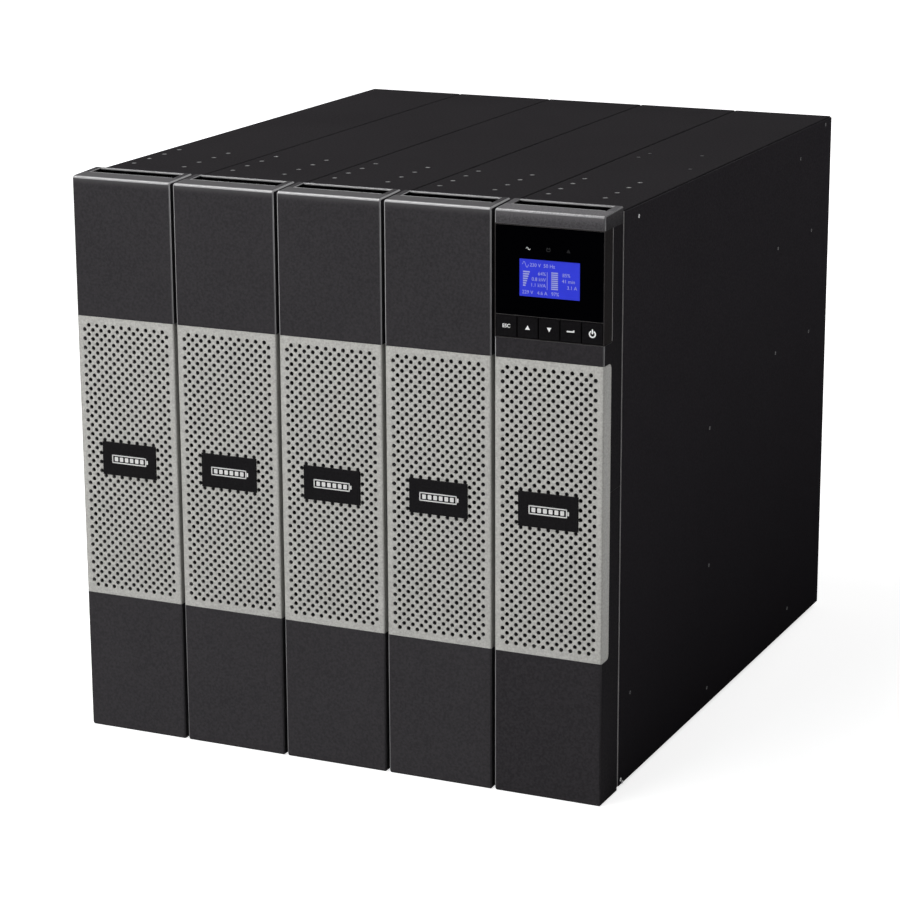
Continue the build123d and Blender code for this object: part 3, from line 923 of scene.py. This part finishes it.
def makeInsertRing(name, outer, width):
    # a flat ring with a low wall round its opening
    spec = insertSpec
    ring = newCylinder(name, spec["sides"], outer, spec["proud"],
                       (0, 0, layout["caseTop"] + spec["proud"] / 2))
    startEdit(ring)
    insetFaces(ring, looksUp, *((width * share, 0.0) for share in spec["insets"]))
    bpy.ops.mesh.extrude_region_move(
        TRANSFORM_OT_translate={"value": (0, 0, -spec["proud"] * spec["wallDepth"])})
    bpy.ops.mesh.delete(type="FACE")
    deleteFaces(ring, looksDown)
    endEdit()
    return ring


def makeInsertBore():
    spec = insertSpec
    radius, width = spec["rim"]
    bore = newDisc("insertBore", spec["sides"], radius - width * spec["boreShare"],
                   (0, 0, layout["caseTop"] + spec["proud"] * spec["boreLift"]))
    return dished(bore, everyFace, spec["boreInset"])


def placeInserts():
    # pressed-in thread inserts: a dark collar, a bright rim, and a near-black disc over the bore, painted
    # shade
    spec = insertSpec
    sources = {"collars": (makeInsertRing("insertCollar", *spec["collar"]), "darkSteel"),
               "rims": (makeInsertRing("insertRim", *spec["rim"]), "steel"),
               "bores": (makeInsertBore(), "hollowShade")}
    for module, x in modules.items():
        spots = [((x + spec["rowShift"] + side * spec["rowSpread"], depth, 0), (0, 0, 0))
                 for side in (-1, 1) for depth in spec["depths"]]
        for part, (source, finish) in sources.items():
            dressCopies(module + "_rail_" + part, source, spots, finish)
    discard(*(source for source, finish in sources.values()))


# Places of the side screws are (y, z), those of the top's are (x, y)
screwSpec = {
    # the bright side screws are black screws given plated steel: a painted glint
    "bright": ((-0.2001, 0.4293), (-0.2235, 0.0080), (-0.2200, 0.0045)),
    "dull": ((0.1758, 0.4138), (0.2113, 0.3475), (0.1219, 0.3479), (0.2111, 0.2600), (0.1216, 0.2600),
             (-0.0387, 0.2343), (-0.0342, 0.1210), (0.1721, 0.0232), (-0.0335, 0.0181), (-0.2058, 0.0708),
             (0.2427, 0.4330)),
    "top": ((0.1432, -0.0078), (0.1450, 0.0127), (0.1995, -0.0449), (0.1866, 0.0178)),
    "topTurn": 0.4, "radius": 0.0014, "proud": 0.00012,
}
headSpec = {"sides": 20, "rim": 0.16, "dish": (0.10, -0.5), "slot": (1.15, 0.24, 0.3), "slotLift": 0.62,
            "slotCorner": 0.08, "tones": {"bright": "steel", "dull": "darkSteel", "dark": "darkSteel"}}


def makeScrew(radius, proud):
    # low countersunk head and a near-black cross, painted shade in the recess that the driver fits, made
    # facing upwards at the origin
    spec = headSpec
    head = newCylinder("screwHead", spec["sides"], radius, proud, (0, 0, proud / 2))
    startEdit(head)
    insetFaces(head, looksUp, (radius * spec["rim"], 0.0),
               (radius * spec["dish"][0], proud * spec["dish"][1]))
    deleteFaces(head, looksDown)
    endEdit()
    smoothByAngle(head)
    lift = proud * spec["slotLift"]
    long, wide, high = spec["slot"]
    size = (radius * long, radius * wide, lift * high)
    slots = [softBlock("slot", size, (0, 0, lift), 2, radius * spec["slotCorner"], (0, 0, turn))
             for turn in (0, math.pi / 2)]
    return head, joined("screwRecess", slots)


def placeScrews():
    # the same rows on both ends of the set, the bright ones in plated steel as a painted glint, and a few
    # small dimples on the power unit's top
    spec = screwSpec
    head, recess = makeScrew(spec["radius"], spec["proud"])
    for tone in ("bright", "dull"):
        spots = [((cadBox[end][0], y, z), (0, turn, 0))
                 for end, turn in ((1, math.pi / 2), (0, -math.pi / 2)) for y, z in spec[tone]]
        dressCopies("case_screws_" + tone, head, spots, headSpec["tones"][tone])
        dressCopies("case_screw_recesses_" + tone, recess, spots, "hollowShade")
    tops = [((x, y, layout["caseTop"]), (0, 0, spec["topTurn"])) for x, y in spec["top"]]
    dressCopies("top_screws", head, tops, "darkSteel")
    discard(head, recess)


# Rear fittings: what lies behind, on and round the plates of the CAD model

rearSpec = {"case": 0.2594, "plate": 0.2604, "fitting": 0.2614, "raised": 0.2624, "cover": 0.2634,
            "guards": (0.3081, 0.3906), "card": 0.2347, "inlet": 0.0929, "banks": (0.0374, 0.1613),
            "connectors": 0.067}
fanSpec = {"hub": 0.0105, "cap": (0.12, 0.1), "dish": (0.3, -0.08), "length": 0.0185, "chord": 0.0105,
           "thick": 0.0009, "flare": 1.4, "pitch": 20, "cuts": 4, "blades": 9, "ring": 0.0305, "wall": 0.0012,
           "depth": 0.0044, "y": 0.2562, "sides": 48}


def makeFan():
    # hub, pitched blades and the ring round them, with the axis along Y through the origin
    spec, length, depth = fanSpec, fanSpec["length"], fanSpec["depth"]
    hub = newCylinder("fanHub", spec["sides"], spec["hub"], depth, turn=facingFront)
    steps = [(spec["hub"] * inward, depth * deep) for inward, deep in (spec["cap"], spec["dish"])]
    smoothByAngle(dished(hub, looksBack, *steps))
    tip = spec["hub"] + length - spec["wall"]
    blade = newBlock("fanBlade", (length, spec["thick"], spec["chord"]), (tip - length / 2, 0, 0))
    startEdit(blade)
    chooseEdges(blade, lambda a, b: abs(a.x - b.x) > length / 2)
    bpy.ops.mesh.subdivide(number_cuts=spec["cuts"])
    chooseVerts(blade, lambda v: v.x > tip - hair)
    bpy.ops.transform.resize(value=(1, 1, spec["flare"]), center_override=(tip, 0, 0))
    bpy.ops.mesh.select_all(action="SELECT")
    bpy.ops.transform.rotate(value=math.radians(spec["pitch"]), orient_axis="X", center_override=(0, 0, 0))
    endEdit()
    blades = [copied(blade, "blade", (0, 0, 0), (0, 2 * math.pi * turn / spec["blades"], 0))
              for turn in range(spec["blades"])]
    discard(blade)
    ring = newCylinder("fanRing", spec["sides"], spec["ring"], depth, turn=facingFront, ends="NOTHING")
    smoothByAngle(walled(ring, spec["wall"]))
    return joined("fanSource", [hub] + blades + [ring])


def placeFans():
    fan = makeFan()
    for label, z in zip(("lower", "upper"), rearSpec["guards"]):
        dress(copied(fan, "fan_" + label, (unit, fanSpec["y"], z)), "rearFitting")
    discard(fan)


rearScrewSpec = {"radius": 0.0018, "proud": 0.0005, "guards": (0.031, 0.031), "blocks": (0.032, 0.0445),
                 "covers": (0.021, 0.030), "panelReach": 0.0393, "panelHeights": (0.010, 0.219, 0.431)}


def corners(x, y, z, wide, high):
    return [(x + a * wide, y, z + b * high) for a in (-1, 1) for b in (-1, 1)]


def rearScrewPlaces():
    # where the screws of the bright plates and those of the dark panels sit
    spec, rear = rearScrewSpec, rearSpec
    bright, dark = [], []
    for z in rear["guards"]:
        bright += corners(unit, rear["plate"], z, *spec["guards"])
    dark += [(unit, rear["fitting"], z) for z in rear["banks"]]
    for module, x in modules.items():
        dark += [(x + side * spec["panelReach"], rear["case"], z)
                 for side in (-1, 1) for z in spec["panelHeights"]]
        if module != "ups":
            dark += corners(x, rear["fitting"], rear["connectors"], *spec["blocks"])
            bright += corners(x, rear["cover"], rear["connectors"], *spec["covers"])
    return {"bright": bright, "dark": dark}


def placeRearScrews():
    head, recess = makeScrew(rearScrewSpec["radius"], rearScrewSpec["proud"])
    for tone, places in rearScrewPlaces().items():
        spots = [(place, facingBack) for place in places]
        dressCopies("rear_screws_" + tone, head, spots, headSpec["tones"][tone])
        dressCopies("rear_screw_crosses_" + tone, recess, spots, "hollowShade")
    discard(head, recess)


thumbSpec = {"x": -0.013, "reach": 0.019, "radius": 0.00425, "depth": 0.00303, "ridges": 24,
             "groove": {"thickness": 0.00006, "depth": -0.0002}, "rim": (0.0004, 0.00002),
             "slot": (0.0062, 0.0009, 0.00012), "slotCorner": 0.0003}


def placeThumbScrews():
    # knurled sleeves over the two plain knobs, each with a near-black slot across its head, painted shade
    spec = thumbSpec
    step = math.pi / spec["ridges"]
    sleeve = newCylinder("thumbSleeve", 2 * spec["ridges"], spec["radius"], spec["depth"],
                         (0, 0, spec["depth"] / 2))
    startEdit(sleeve)
    chooseFaces(sleeve, lambda c, n: abs(n.z) < 0.1
                and int(math.atan2(c.y, c.x) % (2 * math.pi) / step) % 2 == 0)
    bpy.ops.mesh.inset(**spec["groove"], use_individual=True)
    insetFaces(sleeve, looksUp, spec["rim"])
    deleteFaces(sleeve, looksDown)
    endEdit()
    slot = softBlock("thumbSlot", spec["slot"], (0, 0, spec["depth"]), 2, spec["slotCorner"], segments=3)
    spots = [((unit + spec["x"], rearSpec["plate"], rearSpec["card"] + side * spec["reach"]), facingBack)
             for side in (-1, 1)]
    dressCopies("thumb_screw_sleeves", sleeve, spots, "steel")
    dressCopies("thumb_screw_slots", slot, spots, "hollowShade")
    discard(sleeve, slot)


def rearBlock(name, middle, size, bevel, segments=2):
    # a small block whose edges towards the rear are broken
    block = newBlock(name, size, middle)
    back = middle[1] + size[1] / 2 - hair
    startEdit(block)
    chooseEdges(block, lambda a, b: min(a.y, b.y) > back or abs(a.y - b.y) > size[1] / 2)
    bpy.ops.mesh.bevel(offset=bevel, segments=segments)
    endEdit()
    return smoothByAngle(block)


portSpec = {"x": 0.023, "drop": 0.001, "insert": (0.0064, 0.00012, 0.0142), "insertCorner": 0.0008,
            "pin": 0.00045, "pinLength": 0.0007, "pinSides": 12, "pinTip": 0.5, "rows": ((-1, 5), (1, 4)),
            "rowGap": 0.0028, "pitch": 0.00276, "nut": 0.0014, "nutSides": 6, "nutReach": 0.0109,
            "nutDepth": 0.0008, "nutWall": 0.45, "nutBore": (0.00005, -0.8)}
bladeSpec = {"x": -0.0185, "spread": 0.007, "drop": 0.0016, "earth": 0.0044, "size": (0.0024, 0.0064, 0.0066),
             "y": 0.2523, "corner": 0.0004}


def placeContacts():
    # the inlet's metal blades, and the nine pins and two nuts of the data port
    port, inlet = portSpec, bladeSpec
    low = rearSpec["inlet"] - inlet["drop"]
    spots = ((-inlet["spread"], low), (inlet["spread"], low), (0, low + inlet["earth"]))
    blades = [rearBlock("blade", (unit + inlet["x"] + x, inlet["y"], z), inlet["size"], inlet["corner"])
              for x, z in spots]
    dress(joined("inlet_blades", blades), "steel")
    x, y, z = unit + port["x"], rearSpec["raised"], rearSpec["card"] - port["drop"]
    insert = rearBlock("data_port_insert", (x, y, z), port["insert"], port["insertCorner"], 3)
    dress(insert, "hollowShade")
    pin = newCylinder("portPin", port["pinSides"], port["pin"], port["pinLength"])
    dished(pin, looksUp, (port["pin"] * port["pinTip"], port["pin"] * port["pinTip"]))
    pins = [copied(pin, "pin", (x + side * port["rowGap"] / 2, y + port["pinLength"] / 2,
                                z + (step - (count - 1) / 2) * port["pitch"]), facingBack)
            for side, count in port["rows"] for step in range(count)]
    discard(pin)
    inward, deep = port["nutBore"]
    for side in (-1, 1):
        place = (x, rearSpec["fitting"] + port["nutDepth"] / 2, z + side * port["nutReach"])
        nut = newCylinder("portNut", port["nutSides"], port["nut"], port["nutDepth"], place, facingFront)
        pins.append(dished(nut, looksBack, (port["nut"] * port["nutWall"], 0.0),
                           (inward, port["nutDepth"] * deep)))
    dress(joined("data_port_pins", pins), "steel")


batteryRearSpec = {"rocker": (0.020, 0.0009, 0.0085), "rockerCorner": 0.0004, "dip": 0.0004,
                   "rib": (0.016, 0.0003, 0.0009), "ribCorner": 0.00014, "ribPitch": 0.0028, "ribs": 4,
                   "cover": 0.030}


def placeBatteryRears():
    # the breaker's rocker and the grip ribs of the connector covers
    spec, raised, z = batteryRearSpec, rearSpec["raised"], rearSpec["connectors"]
    wide, deep = spec["rocker"][:2]
    rocker = rearBlock("rockerSource", (0, raised + deep / 2, z), spec["rocker"], spec["rockerCorner"])
    startEdit(rocker)
    chooseEdges(rocker, lambda a, b: abs(a.x - b.x) > wide / 2)
    bpy.ops.mesh.subdivide(number_cuts=1)
    chooseVerts(rocker, lambda v: abs(v.x) < hair and v.y > raised + spec["dip"])
    bpy.ops.transform.translate(value=(0, -spec["dip"], 0))
    endEdit()
    rises = [side * spec["cover"] + (step - (spec["ribs"] - 1) / 2) * spec["ribPitch"]
             for side in (-1, 1) for step in range(spec["ribs"])]
    ribs = [rearBlock("rib", (0, rearSpec["cover"], z + rise), spec["rib"], spec["ribCorner"])
            for rise in rises]
    batteries = [module for module in modules if module != "ups"]
    dressModules("_breaker_rocker", rocker, "badge", batteries)
    dressModules("_cover_ribs", joined("ribSource", ribs), "rearFitting", batteries)


# Thin beads painted light as edge highlights, and a near-black lining in the finger slots as painted shade

upright, sideways = (0, 0, 0), (0, math.pi / 2, 0)
beadSpecs = {
    "flange": {"radius": 0.0005, "length": 0.4332, "place": (0, -0.2281, 0.2206), "turn": upright,
               "sides": 10, "reach": 0.0422},
    "display": {"radius": 0.0003, "length": 0.0805, "place": (0, -0.2478, 0.38825), "turn": upright,
                "sides": 10, "reach": 0.0420},
    "lip": {"radius": 0.0008, "length": 0.0716, "place": (0, -0.2300, 0.4401), "turn": sideways,
            "sides": 12},
    "front": {"radius": 0.0003, "length": 0.0712, "place": (0, -0.2467, 0.4401), "turn": sideways,
              "sides": 12},
    "capRim": {"radius": 0.00022, "length": 0.0808, "place": (unit, -0.26255, 0.42922), "turn": sideways,
               "sides": 12},
}
beadEnd = {"share": 0.4, "smooth": 40}


def makeBead(name, part):
    # a thin straight bead with broken ends
    spec = beadSpecs[part]
    middle, inward = Vector(spec["place"]), spec["radius"] * beadEnd["share"]
    bead = newCylinder(name, spec["sides"], spec["radius"], spec["length"], spec["place"], spec["turn"])
    dished(bead, lambda c, n: (c - middle).length > spec["length"] / 4, (inward, inward))
    return smoothByAngle(bead, beadEnd["smooth"])


def makeBeads():
    # light beads as painted highlights: on the case's front flange, in the notch behind each bezel,
    # and on the rear edge of the display housing
    pairs = [(module + "_case_flange", "flange", x, "flange") for module, x in modules.items()]
    pairs.append(("display_housing_edge", "display", unit, "lip"))
    for name, part, x, finish in pairs:
        bead, reach = makeBead("beadSource", part), beadSpecs[part]["reach"]
        dressCopies(name, bead, [((x + side * reach, 0, 0), upright) for side in (-1, 1)], finish)
        discard(bead)


slotShadeSpec = {"width": 0.0718, "near": -0.2463, "far": -0.2303, "bottom": 0.4173, "top": 0.4397,
              "wall": 0.0003, "corner": 0.001, "cornerSteps": 3}


def makeSlotShadesAndBeads():
    # a near-black open box in each finger slot: painted shade of its hollow
    spec = slotShadeSpec
    deep, high = spec["far"] - spec["near"], spec["top"] - spec["bottom"]
    slotShade = newBlock("slotShadeSource", (spec["width"], deep, high),
                      (0, (spec["near"] + spec["far"]) / 2, (spec["bottom"] + spec["top"]) / 2))
    startEdit(slotShade)
    deleteFaces(slotShade, looksUp)
    softenAlong(slotShade, 2, high, spec["corner"], spec["cornerSteps"])
    endEdit()
    dressModules("_finger_slot_shade", walled(slotShade, spec["wall"]), "hollowShade")
    # beads on the slot's lip and front edge, and on the cap's lower rim: painted highlights
    for part in ("lip", "front"):
        dressModules("_finger_slot_" + part, makeBead("lipSource", part), "lip")
    dress(makeBead("cap_lower_rim", "capRim"), "rim")


# Camera, floor and lights

cameraSpec = {"location": (0.9409, -2.1097, 0.8044), "tilt": 90 - 15.04, "turn": 24.567, "roll": -0.247,
              "lens": 115.70, "sensor": 36, "clipEnd": 50}


def addCamera():
    spec = cameraSpec
    deselectAll()
    bpy.ops.object.camera_add(location=spec["location"])
    camera = bpy.context.object
    camera.name = "photoCamera"
    turned = Euler((math.radians(spec["tilt"]), 0, math.radians(spec["turn"]))).to_matrix()
    turned = turned @ Matrix.Rotation(math.radians(spec["roll"]), 3, "Z")
    camera.rotation_euler = turned.to_euler()
    camera.data.lens = spec["lens"]
    camera.data.sensor_width = spec["sensor"]
    camera.data.clip_end = spec["clipEnd"]
    bpy.context.scene.camera = camera


stageSpec = {"radius": 15.0, "margin": 2, "wall": 3.4, "sides": 96, "near": 0.6, "far": 3.2, "nearLift": 0.75,
             "shader": {"Base Color": grey(0.82), "Roughness": 0.9, "Specular IOR Level": 0.1,
                        "Emission Color": grey(1.0)}}


def stageFinish(name):
    # pale paint that also shows as white where the lamps no longer reach
    spec = stageSpec
    finish, tree, shader = newFinish(name, spec["shader"])
    distance = newNode(tree, "VectorMath", {0: objectPlace(tree)}, operation="LENGTH")
    lift = spread(tree, distance.outputs["Value"], spec["near"], spec["far"], spec["nearLift"],
                  shape="SMOOTHSTEP")
    # the lift shows only to the camera, to reflections and through glass, so it lights nothing
    rays = newNode(tree, "LightPath").outputs
    shown = mathNode(tree, "MAXIMUM", rays["Is Camera Ray"], rays["Is Transmission Ray"])
    shown = mathNode(tree, "MAXIMUM", shown, rays["Is Glossy Ray"])
    feed(tree, shader["Emission Strength"], product(tree, shown, lift))
    return finish


def addStage():
    spec = stageSpec
    finish = stageFinish("paleStudioPaint")
    deselectAll()
    bpy.ops.mesh.primitive_plane_add(size=2 * spec["radius"] + spec["margin"], location=(0, 0, 0))
    floor = named("floor")
    wall = newCylinder("backdrop", spec["sides"], spec["radius"], spec["wall"], (0, 0, spec["wall"] / 2),
                       ends="NOTHING")
    for piece in (floor, wall):
        piece.data.materials.append(finish)


lampSpecs = {
    "topLamp": {"location": (-1.05, -0.75, 2.55), "aim": (0, -0.05, 0.4), "size": 1.2, "power": 42},
    "frontLamp": {"location": (-1.2, -3.0, 1.1), "aim": (0, -0.2, 0.2), "size": 1.8, "power": 48},
    "rightLamp": {"location": (2.6, -1.2, 1.5), "aim": (0.1, 0, 0.2), "size": 1.2, "power": 1.2},
    "rearLamp": {"location": (0.7, 2.9, 1.9), "aim": (0, 0.1, 0.25), "size": 1.6, "power": 30},
}
worldSpec = {"colour": (1, 1, 1, 1), "ambient": 0.14}


def addLights():
    for name, spec in lampSpecs.items():
        deselectAll()
        bpy.ops.object.light_add(type="AREA", location=spec["location"])
        lamp = bpy.context.object
        lamp.name = name
        lamp.data.size = spec["size"]
        lamp.data.energy = spec["power"]
        aim = Vector(spec["aim"]) - Vector(spec["location"])
        lamp.rotation_euler = aim.to_track_quat("-Z", "Y").to_euler()


def addWorld():
    world = bpy.data.worlds.new("studio")
    bpy.context.scene.world = world
    world.use_nodes = True
    soft = world.node_tree.nodes["Background"]
    soft.inputs["Color"].default_value = worldSpec["colour"]
    soft.inputs["Strength"].default_value = worldSpec["ambient"]


stages = {
    "grilles": placeGrilles, "screen picture": makeScreenPicture, "indicators": makeIndicators,
    "key legends": makeLegends, "badge marks": makeBadgeMarks, "rail inserts": placeInserts,
    "case screws": placeScrews, "fans": placeFans, "rear screws": placeRearScrews,
    "thumb screws": placeThumbScrews, "rear contacts": placeContacts, "battery rears": placeBatteryRears,
    "bright edges": makeBeads, "finger slots": makeSlotShadesAndBeads,
    "camera": addCamera, "floor and backdrop": addStage, "lamps": addLights, "world": addWorld,
}
for label, stage in stages.items():
    stage()
    print("stage:", label)
bpy.context.scene.view_settings.view_transform = "Standard"
